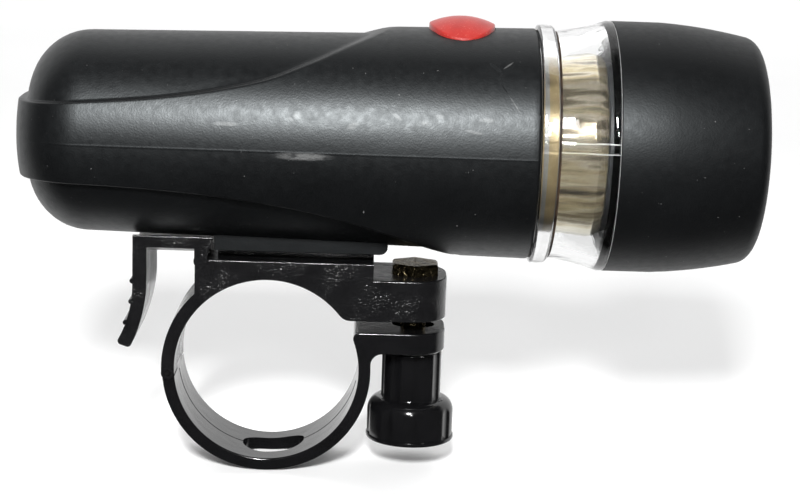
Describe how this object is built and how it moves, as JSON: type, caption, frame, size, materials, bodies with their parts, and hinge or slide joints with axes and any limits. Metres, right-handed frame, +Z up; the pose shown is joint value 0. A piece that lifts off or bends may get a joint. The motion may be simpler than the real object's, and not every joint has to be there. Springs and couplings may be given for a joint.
{
  "type": "bike light",
  "caption": "Battery handlebar light: a tapered black barrel with a push button, a clear ring and a screw-on bezel, on a screw clamp for a bar.",
  "frame": {"origin": "centre of the clamp's bar bore, midway along its width", "axes": "+X forward along the beam, +Y along the bar, +Z up through the barrel"},
  "size_m": [0.111, 0.0382, 0.0705],
  "materials": {
    "shell_black": "satin moulded black",
    "bracket_black": "gloss with a fine grain",
    "clamp_black": "gloss black",
    "button_red": "soft red",
    "clear_plastic": "clear polycarbonate",
    "reflector_metal": "metallised plastic",
    "seal_rubber": "matt",
    "steel": "zinc plated",
    "spring_steel": "nickel plated",
    "brass": "plain",
    "inner_plastic": "moulded",
    "board_green": "solder mask",
    "led_epoxy": "clear epoxy",
    "cell_jacket": "printed jacket, left plain",
    "lead_cover": "insulated"
  },
  "bodies": {
    "bracket": {"clamp_saddle": "bracket_black", "clamp_bolt": "steel", "hinge_pin": "steel"},
    "latch": {"release_latch": "bracket_black"},
    "strap": {"clamp_strap": "clamp_black"},
    "knob_slide": {"clamp_washer": "steel"},
    "knob": {"thumb_knob": "clamp_black", "knob_insert": "brass"},
    "light": {"barrel": "shell_black", "switch_body": "inner_plastic", "switch_board": "board_green", "switch_carrier": "inner_plastic", "contact_strip": "brass", "front_contact": "brass", "battery_tray": "inner_plastic", "tray_contacts": "spring_steel", "tray_springs": "spring_steel", "cell_1": "cell_jacket", "cell_2": "cell_jacket", "cell_3": "cell_jacket", "cell_4": "cell_jacket"},
    "button": {"switch_button": "button_red", "switch_plunger": "inner_plastic"},
    "seal": {"head_seal": "seal_rubber"},
    "head": {"clear_ring": "clear_plastic", "bezel": "shell_black", "front_lens": "clear_plastic", "lens_gasket": "seal_rubber", "reflector": "reflector_metal", "led_board": "board_green", "led_1": "led_epoxy", "led_2": "led_epoxy", "led_3": "led_epoxy", "led_4": "led_epoxy", "led_5": "led_epoxy", "contact_plate": "inner_plastic", "ring_contact": "brass", "contact_spring": "spring_steel", "lead_wires": "lead_cover"}
  },
  "joints": [
    {"name": "light_slide", "type": "slide", "parent": "bracket", "child": "light", "axis": [1, 0, 0], "range_m": [0, 0.026]},
    {"name": "button_press", "type": "slide", "parent": "light", "child": "button", "axis": [0, 0, -1], "range_m": [0, 0.001], "stiffness_N_per_m": 1500, "springref_m": -0.0004},
    {"name": "head_travel", "type": "slide", "parent": "light", "child": "seal", "axis": [1, 0, 0], "range_m": [0, 0.00441]},
    {"name": "head_turn", "type": "hinge", "parent": "seal", "child": "head", "pos_m": [0.045, 0, 0.0352], "axis": [1, 0, 0], "range_deg": [0, 720]},
    {"name": "latch_press", "type": "hinge", "parent": "bracket", "child": "latch", "pos_m": [-0.0102, 0, 0.01675], "axis": [0, -1, 0], "range_deg": [0, 7], "stiffness_Nm_per_rad": 0.6, "springref_deg": -1.15},
    {"name": "knob_travel", "type": "slide", "parent": "bracket", "child": "knob_slide", "axis": [0, 0, -1], "range_m": [0, 0.0098]},
    {"name": "knob_turn", "type": "hinge", "parent": "knob_slide", "child": "knob", "pos_m": [0.0224, 0, -0.005], "axis": [0, 0, -1], "range_deg": [0, 5045]},
    {"name": "strap_swing", "type": "hinge", "parent": "bracket", "child": "strap", "pos_m": [-0.01506, 0, -0.0009], "axis": [0, 1, 0], "range_deg": [0, 12.7]}
  ],
  "couplings": [
    {"joint": "head_travel", "follows": "head_turn", "m_per_rad": 0.00035014},
    {"joint": "knob_turn", "follows": "knob_travel", "rad_per_m": 8976},
    {"joint": "strap_swing", "follows": "knob_travel", "rad_per_m": 22.472}
  ]
}
